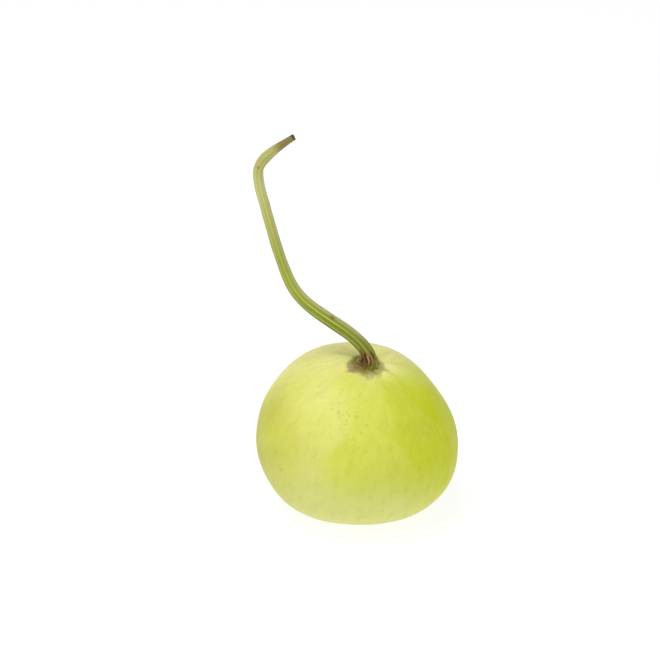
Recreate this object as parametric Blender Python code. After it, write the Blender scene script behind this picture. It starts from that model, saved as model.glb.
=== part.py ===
"""Bottle gourd: a round, pale green fruit resting on its underside, with its long ridged stem.

The frame is in metres. X runs to the right across the gourd, Y runs away from its front and Z
is up. The origin is the centre of the small flat spot that the fruit rests on.
"""

from math import acos, cos, exp, pi, radians, sin

import bmesh
import bpy
import numpy as np
from mathutils import Matrix, Vector

MM = 0.001

# Fruit, measured along its own axis, which runs from the blossom end to the stem's scar
FRUIT_RADIUS = 65 * MM
TOP_HEIGHT = 58.8 * MM
BOTTOM_DEPTH = 52 * MM
TOP_POWER = 2.08
BOTTOM_POWER = 2.16
LEAN_RIGHT = radians(6.8)
LEAN_FORWARD = radians(10)
FRUIT_CENTRE = Vector((-5.3, 1.1, 50.2)) * MM
SEGMENTS = 64
RINGS = 42
RING_CROWDING = 0.45

# Soft swells and hollows that make the fruit uneven: azimuth and elevation in degrees as seen
# from its centre, and height in millimetres
SWELLS = (
    (18, 30, -3.9),
    (85, 60, -1.3),
    (158, 35, -1.1),
    (182, -4, -0.2),
    (211, -44, 1.5),
    (274, -62, -3.1),
    (342, -30, 2.2),
)
SWELL_WIDTH = radians(30)

# Relief at the two ends of the fruit
PIT_DEPTH = 1.6 * MM
PIT_RADIUS = 12 * MM
COLLAR_RIB_HEIGHT = 0.4 * MM
COLLAR_RIB_PEAK = 12 * MM
BLOSSOM_DEPTH = 1.2 * MM
BLOSSOM_RADIUS = 5 * MM

# Stem: its route in millimetres from the scar, and its half width over the ridges
STEM_ROUTE = (
    (-0.4, 0.5, -3.0),
    (0.6, -0.7, 4.4),
    (-1.5, -0.6, 10.6),
    (-7.0, 1.4, 16.8),
    (-19.3, 6.2, 24.8),
    (-31.5, 10.4, 31.9),
    (-41.0, 14.6, 38.4),
    (-47.9, 17.6, 47.2),
    (-55.2, 19.6, 66.0),
    (-60.1, 17.9, 84.6),
    (-64.9, 13.8, 106.0),
    (-67.5, 10.3, 120.0),
    (-66.9, 8.3, 131.0),
    (-61.5, 6.2, 138.8),
    (-53.5, 3.6, 146.2),
    (-45.9, 1.5, 152.2),
)
STEM_RADIUS = 3.25 * MM
STEM_SWELL = 1.1 * MM
STEM_SWELL_HEIGHT = 28 * MM
STEM_SWELL_LENGTH = 52 * MM
STEM_FLARE = 6 * MM
STEM_FLARE_LENGTH = 3.4 * MM
FLARE_SINK = 0.9 * MM
STEM_TIP_RADIUS = 1.9 * MM
STEM_TAPER_LENGTH = 26 * MM
STEM_RIDGES = 8
RIDGE_DEPTH_LOW = 0.17
RIDGE_DEPTH_HIGH = 0.07
RIDGE_FADE_LENGTH = 60 * MM
FLUTE_DEPTH = 0.14
FLUTE_LENGTH = 5 * MM
RIDGE_START = radians(12)
RIDGE_TWIST = radians(4)
SIDES_PER_RIDGE = 5
FOOT_LENGTH = 12 * MM
FOOT_STATIONS = 13
SHAFT_STATIONS = 34
TANGENT_STEP = 0.2 * MM

# Clearance that keeps the stem's foot off the fruit's skin
GAP = 0.3 * MM

# Points this close to the level cut are moved onto it
LEVEL_SNAP = 0.15 * MM

FRUIT_COLOUR = (0.66, 0.70, 0.13, 1)
FRUIT_ROUGHNESS = 0.5
STEM_COLOUR = (0.30, 0.36, 0.08, 1)
STEM_ROUGHNESS = 0.6

# Edges steeper than these are shaded sharp: the rim of the flat spot, and the stem's cut end
FRUIT_SHARP_ANGLE = radians(40)
STEM_SHARP_ANGLE = radians(50)


def clear_scene():
    for item in list(bpy.data.objects):
        bpy.data.objects.remove(item)


def new_collection(name):
    collection = bpy.data.collections.new(name)
    bpy.context.scene.collection.children.link(collection)
    return collection


def plain_material(name, colour, roughness):
    material = bpy.data.materials.new(name)
    material.use_nodes = True
    shader = material.node_tree.nodes["Principled BSDF"]
    shader.inputs["Base Color"].default_value = colour
    shader.inputs["Roughness"].default_value = roughness
    shader.inputs["Metallic"].default_value = 0
    return material


def add_object(name, mesh, material, collection, parent=None):
    item = bpy.data.objects.new(name, mesh)
    mesh.materials.append(material)
    mesh.shade_smooth()
    collection.objects.link(item)
    item.parent = parent
    return item


def direction(azimuth, elevation):
    """Unit vector for an azimuth and an elevation in radians."""
    return Vector((cos(azimuth) * cos(elevation), sin(azimuth) * cos(elevation), sin(elevation)))


def fruit_turn():
    """Rotation that leans the fruit's axis to the right and then to the front."""
    return Matrix.Rotation(LEAN_FORWARD, 3, "X") @ Matrix.Rotation(LEAN_RIGHT, 3, "Y")


def egg_radius(polar):
    """Distance from the centre to the plain turned body, which is flatter below than above."""
    upper = cos(polar) > 0
    height = TOP_HEIGHT if upper else BOTTOM_DEPTH
    power = TOP_POWER if upper else BOTTOM_POWER
    across = abs(sin(polar)) / FRUIT_RADIUS
    along = abs(cos(polar)) / height
    return (across**power + along**power) ** (-1 / power)


def swell_height(outward):
    """Sum of the soft swells in a direction given in the world frame."""
    total = 0
    for azimuth, elevation, height in SWELLS:
        centre = direction(radians(azimuth), radians(elevation))
        angle = acos(max(-1, min(1, outward.dot(centre))))
        total += height * MM * exp(-((angle / SWELL_WIDTH) ** 2))
    return total


def end_relief(polar, azimuth):
    """Hollow and low ribs round the stem's scar, and the dimple at the blossom end."""
    from_scar = TOP_HEIGHT * polar
    from_blossom = BOTTOM_DEPTH * (pi - polar)
    pit = PIT_DEPTH * exp(-((from_scar / PIT_RADIUS) ** 2))
    reach = (from_scar / COLLAR_RIB_PEAK) ** 2
    rib = COLLAR_RIB_HEIGHT * reach * exp(1 - reach) * cos(STEM_RIDGES * (azimuth - RIDGE_START))
    dimple = BLOSSOM_DEPTH * exp(-((from_blossom / BLOSSOM_RADIUS) ** 2))
    return rib - pit - dimple


def skin_point(polar, azimuth, lift=0):
    """Point of the fruit's skin in the fruit's own frame, raised by lift."""
    ray = direction(azimuth, pi / 2 - polar)
    swell = swell_height(fruit_turn() @ ray)
    return ray * (egg_radius(polar) + swell + end_relief(polar, azimuth) + lift)


def fruit_mesh(name, lift=0):
    """A sphere with its rings crowded towards both ends, moved onto the fruit's skin."""
    shape = bmesh.new()
    bmesh.ops.create_uvsphere(shape, u_segments=SEGMENTS, v_segments=RINGS, radius=1)
    for vertex in shape.verts:
        place = vertex.co.normalized()
        even = acos(max(-1, min(1, place.z)))
        polar = even - RING_CROWDING * sin(2 * even) / 2
        azimuth = np.arctan2(place.y, place.x)
        vertex.co = skin_point(polar, azimuth, lift)
    mesh = bpy.data.meshes.new(name)
    shape.to_mesh(mesh)
    shape.free()
    return mesh


def flatten_underside(mesh, placement):
    """Cuts the fruit level at the height of the surface it rests on."""
    shape = bmesh.new()
    shape.from_mesh(mesh)
    shape.transform(placement)
    everything = shape.verts[:] + shape.edges[:] + shape.faces[:]
    bmesh.ops.bisect_plane(
        shape, geom=everything, dist=LEVEL_SNAP, plane_co=(0, 0, 0), plane_no=(0, 0, -1), clear_outer=True
    )
    rim = [edge for edge in shape.edges if edge.is_boundary]
    for edge in rim:
        for vertex in edge.verts:
            vertex.co.z = 0
    bmesh.ops.contextual_create(shape, geom=rim)
    bmesh.ops.recalc_face_normals(shape, faces=shape.faces[:])
    shape.transform(placement.inverted())
    shape.to_mesh(mesh)
    shape.free()


def build_fruit(collection, parent):
    placement = Matrix.Translation(FRUIT_CENTRE) @ fruit_turn().to_4x4()
    mesh = fruit_mesh("fruit")
    flatten_underside(mesh, placement)
    mesh.set_sharp_from_angle(angle=FRUIT_SHARP_ANGLE)
    material = plain_material("gourd_skin", FRUIT_COLOUR, FRUIT_ROUGHNESS)
    fruit = add_object("fruit", mesh, material, collection, parent)
    fruit.matrix_basis = placement
    return fruit


def natural_spline(points):
    """Smooth curve through the points: gives a function of the distance along their chords."""
    points = np.array(points, dtype=float)
    steps = np.linalg.norm(np.diff(points, axis=0), axis=1)
    knots = np.concatenate(([0], np.cumsum(steps)))
    count = len(points)
    system = np.eye(count)
    pull = np.zeros_like(points)
    for i in range(1, count - 1):
        before, after = steps[i - 1], steps[i]
        system[i, i - 1 : i + 2] = before, 2 * (before + after), after
        pull[i] = 6 * ((points[i + 1] - points[i]) / after - (points[i] - points[i - 1]) / before)
    bend = np.linalg.solve(system, pull)

    def curve(distance):
        i = int(np.clip(np.searchsorted(knots, distance) - 1, 0, count - 2))
        step = steps[i]
        ahead = (distance - knots[i]) / step
        behind = 1 - ahead
        line = behind * points[i] + ahead * points[i + 1]
        sway = (behind**3 - behind) * bend[i] + (ahead**3 - ahead) * bend[i + 1]
        return Vector(line + sway * step**2 / 6)

    return curve, knots


def stem_crest_radius(height, length):
    """Half width over the ridges, at a height above the widest point of the foot."""
    swell = STEM_SWELL * exp(-(((height - STEM_SWELL_HEIGHT) / STEM_SWELL_LENGTH) ** 2))
    shaft = STEM_RADIUS + swell
    flare = STEM_FLARE * exp(-abs(height) / STEM_FLARE_LENGTH)
    taper = min(1, (length - height) / STEM_TAPER_LENGTH)
    blend = taper * taper * (3 - 2 * taper)
    return STEM_TIP_RADIUS + (shaft - STEM_TIP_RADIUS) * blend + flare


def stem_section_radius(height, length, turn):
    """Distance from the stem's axis to its ridged skin, at an angle round the axis."""
    depth = RIDGE_DEPTH_HIGH + (RIDGE_DEPTH_LOW - RIDGE_DEPTH_HIGH) * exp(-height / RIDGE_FADE_LENGTH)
    depth += FLUTE_DEPTH * exp(-abs(height) / FLUTE_LENGTH)
    groove = (1 - cos(STEM_RIDGES * turn)) / 2
    return stem_crest_radius(height, length) * (1 - depth * groove)


def stem_stations(buried, length):
    """Distances along the route for the sections, closer together in the foot."""
    foot = np.linspace(0, buried + FOOT_LENGTH, FOOT_STATIONS, endpoint=False)
    shaft = np.linspace(buried + FOOT_LENGTH, buried + length, SHAFT_STATIONS)
    return np.concatenate((foot, shaft))


def stem_mesh(name):
    """A loft of ridged sections along the route, carried without rolling round the axis."""
    route = [Vector(point) * MM for point in STEM_ROUTE]
    curve, knots = natural_spline(route)
    buried = float(route[0].length) - FLARE_SINK
    length = float(knots[-1]) - buried
    sides = STEM_RIDGES * SIDES_PER_RIDGE
    shape = bmesh.new()
    across = fruit_turn() @ Vector((1, 0, 0))
    rings = []
    for distance in stem_stations(buried, length):
        along = (curve(distance + TANGENT_STEP) - curve(distance - TANGENT_STEP)).normalized()
        across = (across - along * across.dot(along)).normalized()
        aside = along.cross(across)
        height = distance - buried
        roll = RIDGE_START + RIDGE_TWIST * height / length
        ring = []
        for i in range(sides):
            turn = 2 * pi * i / sides
            radius = stem_section_radius(height, length, turn)
            spoke = across * cos(turn + roll) + aside * sin(turn + roll)
            ring.append(shape.verts.new(curve(distance) + spoke * radius))
        rings.append(ring)
    for lower, upper in zip(rings, rings[1:]):
        for i in range(sides):
            j = (i + 1) % sides
            shape.faces.new((lower[i], lower[j], upper[j], upper[i]))
    shape.faces.new(reversed(rings[0]))
    shape.faces.new(rings[-1])
    mesh = bpy.data.meshes.new(name)
    shape.to_mesh(mesh)
    shape.free()
    return mesh


def skin_cutter(collection):
    """The fruit's skin raised by the gap, which trims the stem's foot to sit on the fruit."""
    cutter = bpy.data.objects.new("skin_cutter", fruit_mesh("skin_cutter", lift=GAP))
    collection.objects.link(cutter)
    cutter.matrix_basis = Matrix.Translation(FRUIT_CENTRE) @ fruit_turn().to_4x4()
    cutter.hide_render = True
    cutter.display_type = "WIRE"
    return cutter


def build_stem(collection, cutters, parent):
    material = plain_material("stem_skin", STEM_COLOUR, STEM_ROUGHNESS)
    stem = add_object("stem", stem_mesh("stem"), material, collection, parent)
    stem.location = FRUIT_CENTRE + fruit_turn() @ skin_point(0, 0)
    trim = stem.modifiers.new("foot_trim", "BOOLEAN")
    trim.operation = "DIFFERENCE"
    trim.object = skin_cutter(cutters)
    stem.data.set_sharp_from_angle(angle=STEM_SHARP_ANGLE)
    return stem


def build_gourd():
    clear_scene()
    parts = new_collection("bottle_gourd")
    cutters = new_collection("cutters")
    resting_spot = bpy.data.objects.new("resting_spot", None)
    parts.objects.link(resting_spot)
    build_fruit(parts, resting_spot)
    build_stem(parts, cutters, resting_spot)


build_gourd()
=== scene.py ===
"""Bottle gourd: the looks of the round green fruit and its long ridged stem.

The frame is in metres: X to the right across the gourd, Y away from its front and Z up, with
the origin at the centre of the flat spot that the fruit rests on.
"""

from math import radians

import bpy
import numpy as np
from mathutils import Matrix, Vector


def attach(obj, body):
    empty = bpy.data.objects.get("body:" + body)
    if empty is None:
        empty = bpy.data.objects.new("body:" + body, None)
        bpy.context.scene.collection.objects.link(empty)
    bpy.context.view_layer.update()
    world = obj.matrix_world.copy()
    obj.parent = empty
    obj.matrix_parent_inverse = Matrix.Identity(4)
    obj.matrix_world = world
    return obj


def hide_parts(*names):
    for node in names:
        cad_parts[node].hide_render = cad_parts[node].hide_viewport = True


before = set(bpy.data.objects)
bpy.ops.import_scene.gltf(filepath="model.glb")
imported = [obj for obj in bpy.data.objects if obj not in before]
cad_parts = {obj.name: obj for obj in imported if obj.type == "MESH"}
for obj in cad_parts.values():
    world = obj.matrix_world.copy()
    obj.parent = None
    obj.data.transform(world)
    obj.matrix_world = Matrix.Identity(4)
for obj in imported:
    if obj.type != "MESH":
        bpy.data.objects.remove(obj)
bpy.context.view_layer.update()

MM = 0.001

# Fruit, measured along its own axis, which runs from the blossom end to the stem's scar
FRUIT_RADIUS = 65 * MM
TOP_HEIGHT = 58.8 * MM
BOTTOM_DEPTH = 52 * MM
TOP_POWER = 2.08
BOTTOM_POWER = 2.16
LEAN_RIGHT = radians(6.8)
LEAN_FORWARD = radians(10)
FRUIT_CENTRE = np.array((-5.3, 1.1, 50.2)) * MM
RING_CROWDING = 0.45

# Soft swells and hollows: azimuth and elevation in degrees, and height in millimetres
SWELLS = (
    (18, 30, -3.9),
    (85, 60, -1.3),
    (158, 35, -1.1),
    (182, -4, -0.2),
    (211, -44, 1.5),
    (274, -62, -3.1),
    (342, -30, 2.2),
)
SWELL_WIDTH = radians(30)
PIT_DEPTH = 1.6 * MM
PIT_RADIUS = 12 * MM
COLLAR_RIB_HEIGHT = 0.4 * MM
COLLAR_RIB_PEAK = 12 * MM
BLOSSOM_DEPTH = 1.2 * MM
BLOSSOM_RADIUS = 5 * MM

# Unevenness of the skin: height of its random waves, and number, height and turn of its lobes
UNEVEN_HEIGHT = 0.12 * MM
LOBES = 5
LOBE_HEIGHT = 0.12 * MM
LOBE_TURN = 0.8

# Random wave fields: how many sine waves, their mean length and the seed of their directions
UNEVEN_WAVES = (16, 34 * MM, 3)
PATCHY_WAVES = (14, 40 * MM, 11)
FIBRE_WAVES = (18, 0.55, 5)
LUMP_WAVES = (12, 0.9, 9)
SHRIVEL_WAVES = (10, 0.8, 21)

# Stem: its route in millimetres from the scar, and its half width over the ridges
STEM_ROUTE = (
    (-0.4, 0.5, -3.0),
    (0.6, -0.7, 4.4),
    (-1.5, -0.6, 10.6),
    (-7.0, 1.4, 16.8),
    (-19.3, 6.2, 24.8),
    (-31.5, 10.4, 31.9),
    (-41.0, 14.6, 38.4),
    (-47.9, 17.6, 47.2),
    (-55.2, 19.6, 66.0),
    (-60.1, 17.9, 84.6),
    (-64.9, 13.8, 106.0),
    (-67.5, 10.3, 120.0),
    (-66.9, 8.3, 131.0),
    (-61.5, 6.2, 138.8),
    (-53.5, 3.6, 146.2),
    (-45.9, 1.5, 152.2),
)
STEM_RADIUS = 3.25 * MM
STEM_SWELL = 1.1 * MM
STEM_SWELL_HEIGHT = 28 * MM
STEM_SWELL_LENGTH = 52 * MM
STEM_FLARE = 6 * MM
STEM_FLARE_LENGTH = 3.4 * MM
FLARE_SINK = 0.9 * MM
STEM_TIP_RADIUS = 1.9 * MM
STEM_TAPER_LENGTH = 26 * MM
STEM_RIDGES = 8
RIDGE_DEPTH_LOW = 0.17
RIDGE_DEPTH_HIGH = 0.07
RIDGE_FADE_LENGTH = 60 * MM
FLUTE_DEPTH = 0.14
FLUTE_LENGTH = 5 * MM
RIDGE_START = radians(12)
RIDGE_TWIST = radians(4)
TANGENT_STEP = 0.2 * MM

# Grain of the stem: its length as the random waves see it, how they are drawn out, and the share
# of the radius that they change
STRAND_LENGTH = 10
FIBRE_DRAW = (1, 1, 0.12)
FIBRE_SHARE = 0.018
LUMP_DRAW = (0.6, 0.6, 1.0)
LUMP_SHARE = 0.016

# Shrivelled cut end
SHRIVEL_HEIGHT = 0.2 * MM
SHRIVEL_REACH = 2 * MM
CUT_HOLLOW = 0.8 * MM

# Finer meshes than the solids they stand for, with the stem's stations crowded at its foot
FRUIT_SEGMENTS = 352
FRUIT_RINGS = 220
STEM_SIDES = 144
STEM_STATIONS = 460
STATION_EVEN_SHARE = 0.35
STATION_CROWDING = 1.6

# Camera, by where the fruit's centre stands in a picture 660 pixels wide
PICTURE_SIZE = 660
FRUIT_PIXEL = (356.7, 435.4)
METRES_PER_PIXEL = 0.000644
CAMERA_PITCH = radians(25.5)
CAMERA_DISTANCE = 1.5
SENSOR_WIDTH = 36

# Skin colours
SKIN = (0.625, 0.665, 0.086)
SKIN_PALE = (0.73, 0.74, 0.15)
SKIN_DEEP = (0.44, 0.52, 0.015)
SPECK = (0.27, 0.33, 0.03)
# Crease colour: a tan tint of the skin along the creases, partly painted shade in the grooves
CREASE_TAN_AND_SHADE = (0.53, 0.49, 0.15)

# How far the random waves shift the edges of the regions below, as a cosine
PATCHINESS = 0.09

# Broad changes of tint on the fruit, some of them painted highlight and painted shade: name, azimuth and
# elevation of its middle in degrees, how near the middle it starts and is full as cosines, strength and
# colour
REGIONS = (
    # Right side: partly greener skin, partly painted shade, darker and more saturated where less light
    # reaches it
    ("green_side_and_painted_shade", -8, 2, 0.28, 0.92, 1.0, (0.60, 0.655, 0.008)),
    # Upper left: a painted highlight of the key lamp, over skin that is somewhat paler there
    ("pale_top_painted_highlight", 217, 53, 0.64, 1.00, 0.88, (0.71, 0.700, 0.205)),
    ("blush", 204, -27, 0.46, 0.97, 0.9, (0.645, 0.62, 0.170)),
    # Left limb: painted shade, a darker rim along the fruit's left edge
    ("left_limb_painted_shade", 184, 4, 0.50, 1.00, 0.85, (0.500, 0.495, 0.040)),
    ("cream", 98, 44, 0.14, 0.90, 1.00, (0.80, 0.775, 0.290)),
    # Low front: partly paler skin, partly painted light bounced up from the white floor
    ("pale_foot_painted_bounce", 254, -52, 0.25, 0.94, 1.0, (0.70, 0.71, 0.225)),
)

# Deeper green band that starts on a soft line down the right of the front
BAND_START = radians(295)
BAND_EDGE = radians(4.5)
BAND_WIDTH = radians(75)
BAND_TOP = (radians(16), radians(27))
BAND_FOOT = (radians(72), radians(48))
BAND_FRAY = 0.6
BAND_STRENGTH = 0.27

# Shallow creases that run out from the scar: azimuth in degrees, start and end from the scar,
# half width and depth in millimetres
CREASES = (
    (146, 10, 31, 1.5, 0.13),
    (124, 12, 26, 1.2, 0.06),
    (338, 11, 25, 1.3, 0.20),
    (188, 15, 32, 1.7, 0.10),
    (20, 12, 34, 1.6, 0.14),
    (55, 12, 36, 1.8, 0.18),
    (92, 12, 30, 1.5, 0.16),
)
CREASE_FADE_IN = 4
CREASE_FULL = 0.3 * MM
# How strongly the creases take their tan colour and painted shade
CREASE_TAN_AND_SHADE_STRENGTH = 0.55

# Fine specks: their strength all over, and a denser patch with its azimuth, spread, polar angle
# and spread down the fruit in degrees, and strength
SPECKS_ALL_OVER = 0.10
SPECK_PATCH = (258, 26, 45, 18, 0.38)

# Small faint marks on the skin: azimuth and polar angle in degrees, length down the fruit and
# width in millimetres, strength
MARKS = (
    (215, 82, 1.3, 0.8, 0.50),
    (222, 89, 0.9, 0.9, 0.45),
    (252, 96, 2.4, 0.35, 0.40),
    (285, 98, 0.6, 0.6, 0.50),
    (261, 42, 0.7, 1.1, 0.50),
    (245, 42, 1.4, 0.7, 0.45),
    (270, 46, 0.8, 1.0, 0.40),
    (232, 60, 1.5, 0.9, 0.25),
    (306, 74, 1.6, 1.0, 0.25),
    (60, 60, 2.4, 1.0, 0.35),
    (112, 75, 2.0, 1.4, 0.40),
    (140, 50, 1.2, 1.0, 0.35),
    (30, 80, 3.5, 0.8, 0.30),
)

# Fuzzy ring of corky skin round the scar: its reach, how far it is drawn to one side, and its
# points as azimuth and spread in degrees and extra reach in millimetres
HALO_REACH = 12.0 * MM
HALO_DRAW = 1.6 * MM
HALO_DRAW_SIDE = radians(228)
HALO_POINTS = (
    (196, 15, 1.3),
    (217, 12, 2.6),
    (273, 12, 3.4),
    (308, 9, 1.4),
    (342, 10, 2.6),
    (60, 16, 1.6),
    (118, 14, 1.4),
)

# Where the ring fades out and is full, as shares of its reach, and the same for its darker core
# as distances from the scar, with the side where the core is strongest
HALO_FADE = (1.22, 0.72)
HALO_CORE = (13 * MM, 8.5 * MM)
HALO_CORE_STRENGTH = 0.85
HALO_CORE_DRAW = 0.38
HALO_CORE_SIDE = radians(205)

# Sides of the ring with a tint of their own: azimuth and spread in degrees, strength
MAUVE_SIDE = (214, 38, 0.95)
OLIVE_SIDE = (150, 28, 0.90)
HALO_GREY = (0.48, 0.45, 0.158)
HALO_MAUVE = (0.34, 0.215, 0.095)
HALO_OLIVE = (0.22, 0.215, 0.010)
HALO_DARK = (0.155, 0.120, 0.012)
HALO_PALE = (0.58, 0.50, 0.26)

# Bruised patches of the foot: angle round the axis and spread in degrees, height and half
# length in millimetres, strength
BRUISES = (
    (238, 50, 7.0, 5.0, 1.35),
    (196, 34, 3.0, 4.0, 1.10),
    (236, 15, 13.0, 3.2, 0.60),
    (322, 13, 8.5, 4.2, 0.65),
)

# Splits of the foot and the torn fibres between them: angle round the axis at their lower and
# upper end in degrees, lower and upper height, half width and depth in millimetres
CRACKS = (
    (259, 243, 4.2, 12.2, 0.42, 0.85),
    (204, 214, 3.6, 9.4, 0.55, 0.80),
    (281, 285, 3.0, 9.6, 0.40, 0.65),
    (320, 313, 5.5, 11.5, 0.32, 0.40),
    (232, 236, 2.6, 7.0, 0.42, 0.60),
    (188, 196, 2.4, 6.4, 0.40, 0.50),
)
SHREDS = (
    (268, 262, 4.0, 10.8, 0.60, 0.50),
    (250, 246, 9.5, 13.8, 0.26, 0.28),
    (293, 297, 4.5, 10.2, 0.36, 0.35),
    (219, 226, 4.0, 9.5, 0.34, 0.30),
    (243, 240, 3.0, 6.4, 0.26, 0.25),
)
CRACK_FULL = 0.4 * MM
SHRED_FULL = 0.35 * MM
SHRED_STRENGTH = 0.85

# How far the splits and fibres wander and over what length, and how many millimetres their lower
# and upper ends take to fade
STRIP_SWAY = 0.25 * MM
STRIP_SWAY_LENGTH = 1.1 * MM
STRIP_FADE_IN = 1.2
STRIP_FADE_OUT = 2

# Stalk colours from foot to tip, as shares of its length, in its grooves and on its ridges
GROOVE_TINTS = (
    (0.00, (0.150, 0.165, 0.010)),
    (0.18, (0.180, 0.225, 0.012)),
    (0.28, (0.205, 0.260, 0.014)),
    (0.37, (0.290, 0.340, 0.035)),
    (0.48, (0.320, 0.370, 0.042)),
    (0.60, (0.430, 0.440, 0.095)),
    (0.76, (0.545, 0.550, 0.180)),
    (0.87, (0.400, 0.395, 0.115)),
)
RIDGE_TINTS = (
    (0.00, (0.330, 0.320, 0.060)),
    (0.10, (0.320, 0.335, 0.050)),
    (0.20, (0.430, 0.470, 0.060)),
    (0.36, (0.430, 0.470, 0.062)),
    (0.48, (0.430, 0.460, 0.085)),
    (0.60, (0.530, 0.530, 0.145)),
    (0.76, (0.645, 0.640, 0.260)),
    (0.87, (0.480, 0.470, 0.160)),
)
FIBRE_PALE = (0.54, 0.56, 0.125)
FIBRE_DEEP = (0.16, 0.20, 0.015)
# Grey-mauve of the stalk's right side, partly a painted sheen of its down
STEM_MAUVE_SHEEN = (0.47, 0.46, 0.19)
STEM_OLIVE = (0.21, 0.215, 0.025)
FOOT_OLIVE = (0.16, 0.16, 0.006)
BRUISE_BROWN = (0.185, 0.078, 0.012)
BRUISE_OLIVE = (0.120, 0.085, 0.004)
SHRED_TAN = (0.52, 0.30, 0.125)
CRACK_DARK = (0.060, 0.014, 0.001)
BLOTCH_BROWN = (0.20, 0.145, 0.035)
DRY_BROWN = (0.225, 0.175, 0.055)
CUT_BROWN = (0.085, 0.048, 0.016)

# Small brown marks on the stalk: angle and spread in degrees, height and half length in
# millimetres, strength
BLOTCHES = (
    (314, 20, 41.0, 2.6, 0.85),
    (251, 16, 162.6, 1.6, 0.70),
    (300, 14, 97, 1.2, 0.35),
    (120, 18, 70, 2.2, 0.50),
    (60, 14, 128, 1.6, 0.45),
)

# Darker edge of the stalk above the foot, given as the brown marks are
OLIVE_EDGES = ((338, 10, 30, 15, 0.70),)

# Mauve side of the stalk, partly its own grey-mauve colour and partly a painted sheen of its down on the
# right edge:
# angle and spread in degrees, strength, and where it starts and ends
STEM_MAUVE_SHEEN_SIDE = (356, 34, 0.95)
STEM_MAUVE_RISE = (14 * MM, 26 * MM)
STEM_MAUVE_FADE = (150 * MM, 110 * MM)

# Olive front of the foot, and the corky skirt that is warmer on one side
FOOT_OLIVE_SIDE = (285, 50, 0.85)
FOOT_OLIVE_FADE = (4.6 * MM, 1.8 * MM)
SKIRT_FADE = (1.9 * MM, 0.5 * MM)
SKIRT_STRENGTH = 0.8
SKIRT_WARM_SIDE = (214, 45)

# Narrowness of the pale ridges, and how far from the tip it dries and shows its cut
RIDGE_SHARPNESS = 3
DRY_REACH = (20 * MM, 5 * MM)
CUT_REACH = 0.9 * MM

# Noise scales by the metre, and those drawn out along the fruit and the stalk
CLOUD_SCALE = 42
SPECK_SCALE = 430
SPECK_CLUSTER_SCALE = 120
FRAY_SCALE = 300
SKIN_GRAIN_SCALE = 520
STEM_GRAIN_SCALE = 900
DAPPLE_DRAW = (11, 11, 7)
STREAK_DRAW = (34, 34, 5)
SKIN_FIBRE_DRAW = (70, 70, 20)
HALO_FIBRE_DRAW = (15, 15, 3)
STEM_COARSE_DRAW = (7, 7, 1.2)
STEM_FINE_DRAW = (20, 20, 4)

# Shader settings that are the same all over
BUMP_DISTANCE = 0.3 * MM
SKIN_BUMP = 0.3
STEM_BUMP = 0.5
SKIN_ROUGHNESS = (0.44, 0.54)
SKIN_SHADER = {
    "Specular IOR Level": 0.22,
    "Subsurface Weight": 0.12,
    "Subsurface Radius": (1.0, 1.0, 0.35),
    "Subsurface Scale": 3 * MM,
}
STEM_SHADER = {
    "Roughness": 0.6,
    "Specular IOR Level": 0.25,
    "Sheen Weight": 0.16,
    "Sheen Roughness": 0.45,
}

# Studio
WORLD_LIGHT = 0.44
KEY_PLACE = (-0.42, -0.42, 1.45)
KEY_SIZE = 1.25
KEY_POWER = 16.3
FILL_PLACE = (0.7, -1.3, 0.7)
FILL_SIZE = 1.2
FILL_POWER = 2.2
LIGHT_TARGET = (0, 0, 0.06)
FLOOR_HALF = 14
FLOOR_DROP = 0.2 * MM
FLOOR_SHADER = {
    "Base Color": (0.24, 0.24, 0.24, 1),
    "Roughness": 0.9,
    "Specular IOR Level": 0,
    "Emission Color": (1, 1, 1, 1),
    "Emission Strength": 0.84,
}


def smoothstep(low, high, value):
    """Rises from 0 at low to 1 at high, also where high is the smaller one."""
    blend = np.clip((value - low) / (high - low), 0, 1)
    return blend * blend * (3 - 2 * blend)


def direction(azimuth, elevation):
    """Unit vectors for azimuths and elevations in radians."""
    level = np.cos(elevation)
    return np.stack((np.cos(azimuth) * level, np.sin(azimuth) * level, np.sin(elevation)), axis=-1)


def angle_between(first, second):
    """Smallest difference of two angles round an axis, in radians."""
    return (first - second + np.pi) % (2 * np.pi) - np.pi


def side(angle, place, spread):
    """Soft mask round one side, given by its angle and spread in degrees."""
    offset = angle_between(angle, radians(place)) / radians(spread)
    return np.exp(-(offset**2))


def patches(angle, height, rows):
    """Strength of soft spots, each at an angle in degrees and a height in millimetres."""
    total = np.zeros_like(angle)
    for place, spread, level, tall, strength in rows:
        along = (height / MM - level) / tall
        total += strength * side(angle, place, spread) * np.exp(-(along**2))
    return np.clip(total, 0, 1)


def fruit_turn():
    """Rotation that leans the fruit's axis to the right and then to the front."""
    turn = Matrix.Rotation(LEAN_FORWARD, 3, "X") @ Matrix.Rotation(LEAN_RIGHT, 3, "Y")
    return np.array(turn)


def wave_field(points, count, wavelength, seed):
    """Smooth random field of about unit size, as a sum of sine waves in seeded directions."""
    draw = np.random.default_rng(seed)
    total = np.zeros(points.shape[:-1])
    for _ in range(count):
        heading = draw.normal(size=3)
        heading *= 2 * np.pi / (wavelength * draw.uniform(0.7, 1.5) * np.linalg.norm(heading))
        total += np.sin(points @ heading + draw.uniform(0, 2 * np.pi))
    return total / np.sqrt(count / 2)


def egg_radius(polar):
    """Distance from the centre to the plain turned body, which is flatter below than above."""
    upper = np.cos(polar) > 0
    height = np.where(upper, TOP_HEIGHT, BOTTOM_DEPTH)
    power = np.where(upper, TOP_POWER, BOTTOM_POWER)
    across = np.abs(np.sin(polar)) / FRUIT_RADIUS
    along = np.abs(np.cos(polar)) / height
    return (across**power + along**power) ** (-1 / power)


def swell_height(outward):
    """Sum of the soft swells in directions given in the world frame."""
    total = np.zeros(outward.shape[:-1])
    for azimuth, elevation, height in SWELLS:
        centre = direction(radians(azimuth), radians(elevation))
        angle = np.arccos(np.clip(outward @ centre, -1, 1))
        total += height * MM * np.exp(-((angle / SWELL_WIDTH) ** 2))
    return total


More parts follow.
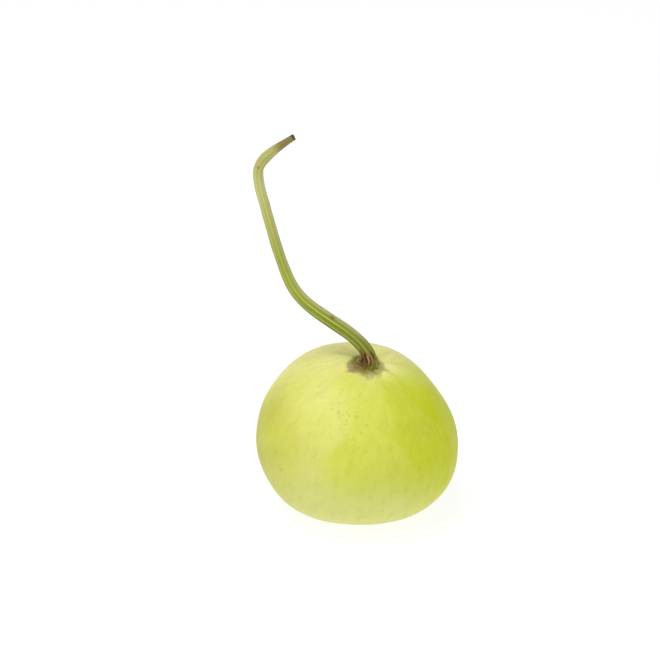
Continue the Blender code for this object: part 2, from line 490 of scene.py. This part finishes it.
def end_relief(polar, azimuth):
    """Hollow and low ribs round the stem's scar, and the dimple at the blossom end."""
    from_scar = TOP_HEIGHT * polar
    from_blossom = BOTTOM_DEPTH * (np.pi - polar)
    pit = PIT_DEPTH * np.exp(-((from_scar / PIT_RADIUS) ** 2))
    reach = (from_scar / COLLAR_RIB_PEAK) ** 2
    rib = COLLAR_RIB_HEIGHT * reach * np.exp(1 - reach)
    rib = rib * np.cos(STEM_RIDGES * (azimuth - RIDGE_START))
    dimple = BLOSSOM_DEPTH * np.exp(-((from_blossom / BLOSSOM_RADIUS) ** 2))
    return rib - pit - dimple


def crease_depth(polar, azimuth):
    """How deep each place lies in the creases, in metres."""
    from_scar = TOP_HEIGHT * polar
    depth = np.zeros_like(from_scar)
    for place, start, end, width, deep in CREASES:
        offset = angle_between(azimuth, radians(place))
        aside = from_scar * np.sin(offset)
        front = np.cos(offset) > 0
        along = smoothstep(start * MM, (start + CREASE_FADE_IN) * MM, from_scar)
        along = along * smoothstep(end * MM, (start + end) / 2 * MM, from_scar)
        depth += deep * MM * np.exp(-((aside / (width * MM)) ** 2)) * along * front
    return depth


def grid_faces(rows, columns):
    """Quads of a grid that closes round its columns."""
    row = np.arange(rows - 1)[:, None] * columns
    column = np.arange(columns)[None, :]
    after = (column + 1) % columns
    quads = np.stack((row + column, row + after, row + columns + after, row + columns + column), axis=-1)
    return quads.reshape(-1, 4)


def closed_faces(rows, columns):
    """Faces of a closed skin: the grid, and a fan to one more point at each of its ends."""
    faces = grid_faces(rows, columns).tolist()
    low, high = rows * columns, rows * columns + 1
    last = (rows - 1) * columns
    for i in range(columns):
        j = (i + 1) % columns
        faces.append([low, j, i])
        faces.append([high, last + i, last + j])
    return faces


def make_piece(name, points, faces, material):
    mesh = bpy.data.meshes.new(name)
    mesh.from_pydata(points, [], faces)
    mesh.validate()
    mesh.update()
    mesh.shade_smooth()
    mesh.materials.append(material)
    piece = bpy.data.objects.new(name, mesh)
    bpy.context.scene.collection.objects.link(piece)
    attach(piece, "root")
    return piece


def add_values(piece, name, values):
    """Stores one number a point on the mesh, for the material to read."""
    layer = piece.data.attributes.new(name, "FLOAT", "POINT")
    layer.data.foreach_set("value", np.asarray(values, dtype=np.float32).ravel())


def add_vectors(piece, name, values):
    layer = piece.data.attributes.new(name, "FLOAT_VECTOR", "POINT")
    layer.data.foreach_set("vector", np.asarray(values, dtype=np.float32).ravel())


class Nodes:
    """Short ways to add and join shader nodes of one material."""

    def __init__(self, name, settings):
        self.material = bpy.data.materials.new(name)
        self.material.use_nodes = True
        self.tree = self.material.node_tree
        self.shader = self.tree.nodes["Principled BSDF"]
        for socket, value in settings.items():
            self.shader.inputs[socket].default_value = value

    def add(self, kind, **settings):
        item = self.tree.nodes.new(kind)
        for key, value in settings.items():
            setattr(item, key, value)
        return item

    def join(self, source, target):
        if isinstance(source, (int, float)):
            target.default_value = source
        elif isinstance(source, tuple):
            target.default_value = (*source, 1)
        else:
            self.tree.links.new(source, target)

    def value(self, name):
        return self.add("ShaderNodeAttribute", attribute_name=name).outputs["Fac"]

    def vector(self, name):
        return self.add("ShaderNodeAttribute", attribute_name=name).outputs["Vector"]

    def place(self):
        return self.add("ShaderNodeTexCoord").outputs["Object"]

    def stretched(self, vector, scale):
        item = self.add("ShaderNodeMapping")
        self.tree.links.new(vector, item.inputs["Vector"])
        item.inputs["Scale"].default_value = scale
        return item.outputs["Vector"]

    def noise(self, vector, scale, detail=3, roughness=0.5):
        item = self.add("ShaderNodeTexNoise")
        self.tree.links.new(vector, item.inputs["Vector"])
        item.inputs["Scale"].default_value = scale
        item.inputs["Detail"].default_value = detail
        item.inputs["Roughness"].default_value = roughness
        return item.outputs["Fac"]

    def math(self, operation, first, second):
        item = self.add("ShaderNodeMath", operation=operation)
        self.join(first, item.inputs[0])
        self.join(second, item.inputs[1])
        return item.outputs[0]

    def span(self, value, low, high, out_low=0.0, out_high=1.0):
        """Maps a range of a value onto another range, and holds it there."""
        item = self.add("ShaderNodeMapRange")
        self.join(value, item.inputs["Value"])
        item.inputs["From Min"].default_value = low
        item.inputs["From Max"].default_value = high
        item.inputs["To Min"].default_value = out_low
        item.inputs["To Max"].default_value = out_high
        return item.outputs["Result"]

    def ragged(self, mask, noise, amount):
        """Frays the edge of a mask with a noise."""
        frayed = self.math("ADD", mask, self.span(noise, 0.3, 0.7, -amount, amount))
        return self.span(frayed, 0.2, 0.8)

    def mix(self, factor, first, second):
        item = self.add("ShaderNodeMix", data_type="RGBA")
        self.join(factor, item.inputs[0])
        self.join(first, item.inputs[6])
        self.join(second, item.inputs[7])
        return item.outputs[2]

    def ramp(self, value, stops):
        """Colour that changes smoothly through the stops."""
        item = self.add("ShaderNodeValToRGB")
        self.join(value, item.inputs["Fac"])
        points = item.color_ramp.elements
        while len(points) < len(stops):
            points.new(1)
        for point, (position, colour) in zip(points, stops):
            point.position = position
            point.color = (*colour, 1)
        return item.outputs["Color"]

    def bump(self, first, share, second, strength):
        """Fine relief from two noises, the first with the given share."""
        item = self.add("ShaderNodeBump")
        coarse = self.math("MULTIPLY", first, share)
        height = self.math("ADD", coarse, self.math("MULTIPLY", second, 1 - share))
        self.join(height, item.inputs["Height"])
        item.inputs["Strength"].default_value = strength
        item.inputs["Distance"].default_value = BUMP_DISTANCE
        self.tree.links.new(item.outputs["Normal"], self.shader.inputs["Normal"])

    def paint(self, colour):
        self.tree.links.new(colour, self.shader.inputs["Base Color"])


def halo_colour(nodes, meridian):
    """Colours of the corky ring: grey, mauve and olive sides with fibres that run outwards."""
    fibre = nodes.noise(nodes.stretched(meridian, HALO_FIBRE_DRAW), 1.0, 3, 0.6)
    halo = nodes.mix(nodes.value("halo_mauve"), HALO_GREY, HALO_MAUVE)
    halo = nodes.mix(nodes.value("halo_olive"), halo, HALO_OLIVE)
    halo = nodes.mix(nodes.span(fibre, 0.52, 0.72, 0, 0.55), halo, HALO_PALE)
    halo = nodes.mix(nodes.span(fibre, 0.50, 0.32, 0, 0.65), halo, HALO_OLIVE)
    return nodes.mix(nodes.value("halo_inner"), halo, HALO_DARK)


def skin_tints(nodes, cloud, meridian):
    """Broad tints of the skin, among them a painted highlight and painted shade, with soft dapples and
    broken streaks that run down the fruit.
    """
    base = SKIN
    # Some of these tints are painted highlight and painted shade
    for name, *_, tint in REGIONS:
        base = nodes.mix(nodes.value(name), base, tint)
    base = nodes.mix(nodes.value("band"), base, SKIN_DEEP)

    dapple = nodes.noise(nodes.stretched(meridian, DAPPLE_DRAW), 1.0, 4, 0.55)
    base = nodes.mix(nodes.span(dapple, 0.50, 0.72, 0, 0.22), base, SKIN_DEEP)
    base = nodes.mix(nodes.span(dapple, 0.48, 0.30, 0, 0.20), base, SKIN_PALE)
    streak = nodes.noise(nodes.stretched(meridian, STREAK_DRAW), 1.0, 4, 0.6)
    broken = nodes.span(cloud, 0.40, 0.62)
    streak_pale = nodes.math("MULTIPLY", nodes.span(streak, 0.50, 0.72, 0, 0.20), broken)
    base = nodes.mix(streak_pale, base, SKIN_PALE)
    streak_deep = nodes.math("MULTIPLY", nodes.span(streak, 0.48, 0.28, 0, 0.15), broken)
    return nodes.mix(streak_deep, base, SKIN_DEEP)


def skin_material():
    """Chartreuse skin with soft fibrous streaks, a tan blush, specks and the halo of the scar."""
    nodes = Nodes("gourd_skin_fine", SKIN_SHADER)
    place = nodes.place()
    meridian = nodes.vector("meridian")
    cloud = nodes.noise(place, CLOUD_SCALE)

    base = skin_tints(nodes, cloud, meridian)
    speck = nodes.span(nodes.noise(place, SPECK_SCALE, 2), 0.54, 0.74)
    cluster = nodes.span(nodes.noise(place, SPECK_CLUSTER_SCALE, 2), 0.44, 0.60)
    speck = nodes.math("MULTIPLY", speck, cluster)
    base = nodes.mix(nodes.math("MULTIPLY", speck, nodes.value("specks")), base, SPECK)
    base = nodes.mix(nodes.value("marks"), base, SPECK)
    # Darker tan along the creases, partly painted shade in the grooves
    base = nodes.mix(nodes.value("crease"), base, CREASE_TAN_AND_SHADE)

    frayed = nodes.ragged(nodes.value("halo"), nodes.noise(place, FRAY_SCALE, 4, 0.7), 0.26)
    base = nodes.mix(nodes.math("MULTIPLY", frayed, 0.92), base, halo_colour(nodes, meridian))
    nodes.paint(base)

    fine = nodes.noise(nodes.stretched(meridian, SKIN_FIBRE_DRAW), 1.0, 4, 0.6)
    grain = nodes.noise(place, SKIN_GRAIN_SCALE, 3, 0.6)
    nodes.bump(fine, 0.6, grain, SKIN_BUMP)
    nodes.join(nodes.span(cloud, 0.3, 0.7, *SKIN_ROUGHNESS), nodes.shader.inputs["Roughness"])
    return nodes.material


def stem_material():
    """Green stalk with pale ridges, yellower and drier upwards, brown at the tip and bruise."""
    nodes = Nodes("stem_skin_fine", STEM_SHADER)
    strand = nodes.vector("strand")
    rise = nodes.value("rise")
    coarse = nodes.noise(nodes.stretched(strand, STEM_COARSE_DRAW), 1.0, 4, 0.6)
    fine = nodes.noise(nodes.stretched(strand, STEM_FINE_DRAW), 1.0, 4, 0.65)

    ridge = nodes.ragged(nodes.value("crest"), coarse, 0.30)
    base = nodes.mix(ridge, nodes.ramp(rise, GROOVE_TINTS), nodes.ramp(rise, RIDGE_TINTS))
    # Grey-mauve right side, partly painted sheen of the down
    base = nodes.mix(nodes.value("mauve"), base, STEM_MAUVE_SHEEN)
    base = nodes.mix(nodes.value("olive_edge"), base, STEM_OLIVE)
    base = nodes.mix(nodes.span(fine, 0.52, 0.75, 0, 0.35), base, FIBRE_PALE)
    base = nodes.mix(nodes.span(fine, 0.46, 0.25, 0, 0.32), base, FIBRE_DEEP)

    brown = nodes.mix(nodes.span(coarse, 0.42, 0.58), BRUISE_OLIVE, BRUISE_BROWN)
    base = nodes.mix(nodes.ragged(nodes.value("bruise"), coarse, 0.26), base, brown)
    base = nodes.mix(nodes.ragged(nodes.value("foot_olive"), fine, 0.20), base, FOOT_OLIVE)
    skirt = nodes.mix(nodes.value("skirt_warm"), HALO_GREY, HALO_MAUVE)
    base = nodes.mix(nodes.ragged(nodes.value("skirt"), coarse, 0.35), base, skirt)
    base = nodes.mix(nodes.value("shred"), base, SHRED_TAN)
    base = nodes.mix(nodes.value("crack"), base, CRACK_DARK)
    base = nodes.mix(nodes.ragged(nodes.value("blotch"), fine, 0.15), base, BLOTCH_BROWN)
    base = nodes.mix(nodes.ragged(nodes.value("dry"), coarse, 0.30), base, DRY_BROWN)
    base = nodes.mix(nodes.value("cut_end"), base, CUT_BROWN)
    nodes.paint(base)

    grain = nodes.noise(nodes.place(), STEM_GRAIN_SCALE, 2, 0.6)
    nodes.bump(fine, 0.75, grain, STEM_BUMP)
    return nodes.material


def build_fruit(material):
    """The whole skin, with its relief, and the level spot that it rests on."""
    even = np.linspace(0, np.pi, FRUIT_RINGS + 1)[1:-1]
    polar = even - RING_CROWDING * np.sin(2 * even) / 2
    azimuth = np.arange(FRUIT_SEGMENTS) * 2 * np.pi / FRUIT_SEGMENTS
    polar, azimuth = np.meshgrid(polar, azimuth, indexing="ij")
    turn = fruit_turn()
    outward = direction(azimuth, np.pi / 2 - polar) @ turn.T
    crease = crease_depth(polar, azimuth)
    uneven = wave_field(outward * FRUIT_RADIUS, *UNEVEN_WAVES) * UNEVEN_HEIGHT
    lobes = LOBE_HEIGHT * np.cos(LOBES * azimuth + LOBE_TURN) * np.sin(polar) ** 2
    radius = egg_radius(polar) + swell_height(outward) + end_relief(polar, azimuth)
    radius += uneven + lobes - crease
    points = outward * radius[..., None] + FRUIT_CENTRE
    ends = []
    for pole in (0.0, np.pi):
        ray = turn @ direction(0.0, np.pi / 2 - pole)
        reach = egg_radius(np.array(pole)) + swell_height(ray) + end_relief(np.array(pole), 0.0)
        ends.append(ray * reach + FRUIT_CENTRE)
    points = np.concatenate((points.reshape(-1, 3), ends))
    points[:, 2] = np.maximum(points[:, 2], 0)
    faces = [face[::-1] for face in closed_faces(*polar.shape)]
    piece = make_piece("fruit_skin", points, faces, material)
    paint_fruit(piece, polar, azimuth, outward, crease)
    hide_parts("fruit")


def halo_reach(azimuth):
    """How far the corky ring reaches from the scar in each direction."""
    reach = HALO_REACH + HALO_DRAW * np.cos(azimuth - HALO_DRAW_SIDE)
    for place, spread, extra in HALO_POINTS:
        reach = reach + extra * MM * side(azimuth, place, spread)
    return reach


def green_band(polar, azimuth, patchy):
    """Strength of the deeper green band on the right of the front."""
    offset = angle_between(azimuth, BAND_START) + patchy * BAND_EDGE * BAND_FRAY
    band = smoothstep(-BAND_EDGE, BAND_EDGE, offset) * smoothstep(BAND_WIDTH, BAND_WIDTH / 3, offset)
    return band * smoothstep(*BAND_TOP, polar) * smoothstep(*BAND_FOOT, polar)


def skin_marks(polar, azimuth):
    """Strength of the small marks on the skin."""
    marks = np.zeros_like(polar)
    for place, down, length, width, strength in MARKS:
        along = FRUIT_RADIUS * (polar - radians(down)) / (length * MM)
        aside = FRUIT_RADIUS * np.sin(polar) * angle_between(azimuth, radians(place)) / (width * MM)
        marks += strength * np.exp(-(along**2) - aside**2)
    return np.clip(marks, 0, 1)


def speck_strength(polar, azimuth):
    """Strength of the fine specks, which are dense on the upper front of the fruit."""
    place, spread, level, tall, strength = SPECK_PATCH
    down = (polar - radians(level)) / radians(tall)
    return SPECKS_ALL_OVER + strength * side(azimuth, place, spread) * np.exp(-(down**2))


def paint_fruit(piece, polar, azimuth, outward, crease):
    """Masks for the skin's colours, from formulas of the place on the fruit."""

    def store(name, values):
        values = values.reshape(-1)
        add_values(piece, name, np.append(values, (values[0], values[-1])))

    meridian = np.stack((np.cos(azimuth), np.sin(azimuth), polar), axis=-1).reshape(-1, 3)
    add_vectors(piece, "meridian", np.concatenate((meridian, meridian[:1], meridian[-1:])))
    patchy = wave_field(outward * FRUIT_RADIUS, *PATCHY_WAVES)
    # The regions include painted shade, a painted highlight and painted bounce light
    for name, place, height, start, full, strength, _ in REGIONS:
        near = outward @ direction(radians(place), radians(height))
        store(name, smoothstep(start, full, near + PATCHINESS * patchy) * strength)
    store("band", green_band(polar, azimuth, patchy) * BAND_STRENGTH)
    store("specks", speck_strength(polar, azimuth))
    # Crease mask follows the groove's depth: partly tan skin, partly painted shade
    store("crease", np.clip(crease / CREASE_FULL, 0, 1) * CREASE_TAN_AND_SHADE_STRENGTH)
    store("marks", skin_marks(polar, azimuth))
    from_scar = TOP_HEIGHT * polar
    store("halo", smoothstep(*HALO_FADE, from_scar / halo_reach(azimuth)))
    drawn = 1 - HALO_CORE_DRAW + HALO_CORE_DRAW * np.cos(azimuth - HALO_CORE_SIDE)
    store("halo_inner", smoothstep(*HALO_CORE, from_scar) * HALO_CORE_STRENGTH * drawn)
    for name, (place, spread, strength) in (("halo_mauve", MAUVE_SIDE), ("halo_olive", OLIVE_SIDE)):
        store(name, side(azimuth, place, spread) * strength)


def natural_spline(points):
    """Smooth curve through the points: gives a function of the distance along their chords."""
    steps = np.linalg.norm(np.diff(points, axis=0), axis=1)
    knots = np.concatenate(([0], np.cumsum(steps)))
    count = len(points)
    system = np.eye(count)
    pull = np.zeros_like(points)
    for i in range(1, count - 1):
        before, after = steps[i - 1], steps[i]
        system[i, i - 1 : i + 2] = before, 2 * (before + after), after
        pull[i] = 6 * ((points[i + 1] - points[i]) / after - (points[i] - points[i - 1]) / before)
    bend = np.linalg.solve(system, pull)

    def curve(distance):
        i = np.clip(np.searchsorted(knots, distance) - 1, 0, count - 2)
        step = steps[i][:, None]
        ahead = (distance[:, None] - knots[i][:, None]) / step
        behind = 1 - ahead
        line = behind * points[i] + ahead * points[i + 1]
        sway = (behind**3 - behind) * bend[i] + (ahead**3 - ahead) * bend[i + 1]
        return line + sway * step**2 / 6

    return curve, knots[-1]


def stem_crest_radius(height, length):
    """Half width over the ridges, at a height above the widest point of the foot."""
    swell = STEM_SWELL * np.exp(-(((height - STEM_SWELL_HEIGHT) / STEM_SWELL_LENGTH) ** 2))
    shaft = STEM_RADIUS + swell
    flare = STEM_FLARE * np.exp(-np.abs(height) / STEM_FLARE_LENGTH)
    taper = np.minimum(1, (length - height) / STEM_TAPER_LENGTH)
    blend = taper * taper * (3 - 2 * taper)
    return STEM_TIP_RADIUS + (shaft - STEM_TIP_RADIUS) * blend + flare


def stem_section_radius(height, length, turn):
    """Distance from the stem's axis to its ridged skin, at an angle round the axis."""
    depth = RIDGE_DEPTH_HIGH + (RIDGE_DEPTH_LOW - RIDGE_DEPTH_HIGH) * np.exp(-height / RIDGE_FADE_LENGTH)
    depth = depth + FLUTE_DEPTH * np.exp(-np.abs(height) / FLUTE_LENGTH)
    groove = (1 - np.cos(STEM_RIDGES * turn)) / 2
    return stem_crest_radius(height, length) * (1 - depth * groove)


def stem_frames():
    """Sections of the stem: heights, centres and two unit vectors that don't roll round it."""
    turn = fruit_turn()
    scar = FRUIT_CENTRE + turn @ direction(0.0, np.pi / 2) * scar_reach(turn)
    route = np.array(STEM_ROUTE) * MM
    curve, total = natural_spline(route)
    buried = np.linalg.norm(route[0]) - FLARE_SINK
    share = np.linspace(0, 1, STEM_STATIONS)
    crowded = share**STATION_CROWDING
    distance = total * (STATION_EVEN_SHARE * share + (1 - STATION_EVEN_SHARE) * crowded)
    centres = curve(distance)
    ahead = curve(distance + TANGENT_STEP) - curve(distance - TANGENT_STEP)
    ahead /= np.linalg.norm(ahead, axis=1)[:, None]
    across = np.zeros_like(ahead)
    spoke = turn @ np.array((1.0, 0, 0))
    for i, along in enumerate(ahead):
        spoke = spoke - along * (spoke @ along)
        spoke /= np.linalg.norm(spoke)
        across[i] = spoke
    aside = np.cross(ahead, across)
    return distance - buried, total - buried, centres + scar, across, aside, ahead


def scar_reach(turn):
    """Distance from the fruit's centre to the bottom of the hollow round the scar."""
    ray = turn @ direction(0.0, np.pi / 2)
    return float(egg_radius(np.array(0.0)) + swell_height(ray) - PIT_DEPTH)


def strips(rows, turn, height, girth):
    """Depth in metres of narrow strips that run up the foot."""
    total = np.zeros_like(turn)
    for start, end, low, high, width, deep in rows:
        share = np.clip((height / MM - low) / (high - low), 0, 1)
        middle = radians(start) + radians(end - start) * share
        sway = STRIP_SWAY * np.sin(height / STRIP_SWAY_LENGTH + start)
        aside = girth * angle_between(turn, middle) + sway
        window = smoothstep(low * MM, (low + STRIP_FADE_IN) * MM, height)
        window = window * smoothstep(high * MM, (high - STRIP_FADE_OUT) * MM, height)
        total = np.maximum(total, deep * MM * np.exp(-((aside / (width * MM)) ** 2)) * window)
    return total


def build_stem(material):
    """The ridged stalk, its fluted foot with the bruise and splits, and its dry cut end."""
    height, length, centres, across, aside, ahead = stem_frames()
    turn = np.arange(STEM_SIDES) * 2 * np.pi / STEM_SIDES
    height, turn = np.meshgrid(height, turn, indexing="ij")
    around = turn + RIDGE_START + RIDGE_TWIST * height / length
    radius = stem_section_radius(height, length, turn)
    girth = stem_crest_radius(height, length)
    strand = np.stack((np.cos(turn), np.sin(turn), height / length * STRAND_LENGTH), axis=-1)
    fibres = wave_field(strand * np.array(FIBRE_DRAW), *FIBRE_WAVES)
    lumps = wave_field(strand * np.array(LUMP_DRAW), *LUMP_WAVES)
    radius = radius * (1 + FIBRE_SHARE * fibres + LUMP_SHARE * lumps)
    crack = strips(CRACKS, around, height, girth)
    shred = strips(SHREDS, around, height, girth)
    radius = radius + shred - crack
    spokes = across[:, None] * np.cos(around)[..., None] + aside[:, None] * np.sin(around)[..., None]
    points = centres[:, None] + spokes * radius[..., None]
    at_cut = smoothstep(length - SHRIVEL_REACH, length, height)
    shrivel = wave_field(strand, *SHRIVEL_WAVES) * SHRIVEL_HEIGHT * at_cut
    points = points + ahead[:, None] * shrivel[..., None]
    ends = (centres[0], centres[-1] - ahead[-1] * CUT_HOLLOW)
    points = np.concatenate((points.reshape(-1, 3), ends))
    piece = make_piece("stalk", points, closed_faces(*turn.shape), material)
    paint_stem(piece, height, length, turn, around, strand, crack, shred)
    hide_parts("stem")


def paint_stem(piece, height, length, turn, around, strand, crack, shred):
    """Masks for the stalk's colours, from formulas of the place on it."""

    def store(name, values, low=0, high=0):
        add_values(piece, name, np.append(values.reshape(-1), (low, high)))

    flat = strand.reshape(-1, 3)
    add_vectors(piece, "strand", np.concatenate((flat, flat[:1], flat[-1:])))
    store("rise", np.clip(height / length, 0, 1), 0, 1)
    store("crest", (0.5 + 0.5 * np.cos(STEM_RIDGES * turn)) ** RIDGE_SHARPNESS)
    # Grey-mauve side, partly painted sheen of the down along the stalk's right edge
    place, spread, strength = STEM_MAUVE_SHEEN_SIDE
    upper = smoothstep(*STEM_MAUVE_RISE, height) * smoothstep(*STEM_MAUVE_FADE, height)
    store("mauve", side(around, place, spread) * upper * strength)
    store("olive_edge", patches(around, height, OLIVE_EDGES))
    store("bruise", patches(around, height, BRUISES))
    place, spread, strength = FOOT_OLIVE_SIDE
    foot = smoothstep(*FOOT_OLIVE_FADE, height)
    store("foot_olive", foot * side(around, place, spread) * strength)
    store("skirt", smoothstep(*SKIRT_FADE, height) * SKIRT_STRENGTH)
    store("skirt_warm", side(around, *SKIRT_WARM_SIDE))
    store("crack", np.clip(crack / CRACK_FULL, 0, 1))
    store("shred", np.clip(shred / SHRED_FULL, 0, 1) * SHRED_STRENGTH)
    store("blotch", patches(around, height, BLOTCHES))
    far, near = DRY_REACH
    store("dry", smoothstep(length - far, length - near, height), 0, 1)
    store("cut_end", smoothstep(length - CUT_REACH, length, height), 0, 1)


def emission_floor():
    """A near-white floor that keeps only a faint contact shadow."""
    mesh = bpy.data.meshes.new("floor")
    half = FLOOR_HALF
    corners = [(-half, -half, 0), (half, -half, 0), (half, half, 0), (-half, half, 0)]
    mesh.from_pydata(corners, [], [(0, 1, 2, 3)])
    mesh.materials.append(Nodes("floor_white", FLOOR_SHADER).material)
    floor = bpy.data.objects.new("floor", mesh)
    bpy.context.scene.collection.objects.link(floor)
    floor.location.z = -FLOOR_DROP


def area_light(name, place, size, power):
    lamp = bpy.data.lights.new(name, "AREA")
    lamp.shape = "DISK"
    lamp.size = size
    lamp.energy = power
    item = bpy.data.objects.new(name, lamp)
    bpy.context.scene.collection.objects.link(item)
    item.location = place
    item.rotation_euler = (Vector(LIGHT_TARGET) - Vector(place)).to_track_quat("-Z", "Y").to_euler()


def light_studio():
    """Even white surroundings with a large soft lamp above and to the left."""
    world = bpy.data.worlds.new("studio")
    world.use_nodes = True
    back = world.node_tree.nodes["Background"]
    back.inputs["Color"].default_value = (1, 1, 1, 1)
    back.inputs["Strength"].default_value = WORLD_LIGHT
    bpy.context.scene.world = world
    area_light("key", KEY_PLACE, KEY_SIZE, KEY_POWER)
    area_light("fill", FILL_PLACE, FILL_SIZE, FILL_POWER)
    bpy.context.scene.view_settings.view_transform = "Standard"


def place_camera():
    """Looks down on the front of the gourd, with the fruit's centre on its pixel."""
    lens = bpy.data.cameras.new("camera")
    lens.sensor_width = SENSOR_WIDTH
    focal_pixels = CAMERA_DISTANCE / METRES_PER_PIXEL
    lens.lens = focal_pixels * SENSOR_WIDTH / PICTURE_SIZE
    camera = bpy.data.objects.new("camera", lens)
    bpy.context.scene.collection.objects.link(camera)
    forward = np.array((0, np.cos(CAMERA_PITCH), -np.sin(CAMERA_PITCH)))
    upward = np.array((0, np.sin(CAMERA_PITCH), np.cos(CAMERA_PITCH)))
    right = np.array((1.0, 0, 0))
    half = PICTURE_SIZE / 2
    aside = (FRUIT_PIXEL[0] - half) * METRES_PER_PIXEL
    below = (FRUIT_PIXEL[1] - half) * METRES_PER_PIXEL
    camera.location = FRUIT_CENTRE - aside * right + below * upward - CAMERA_DISTANCE * forward
    camera.rotation_euler = (np.pi / 2 - CAMERA_PITCH, 0, 0)
    bpy.context.scene.camera = camera


place_camera()
light_studio()
emission_floor()
build_fruit(skin_material())
build_stem(stem_material())
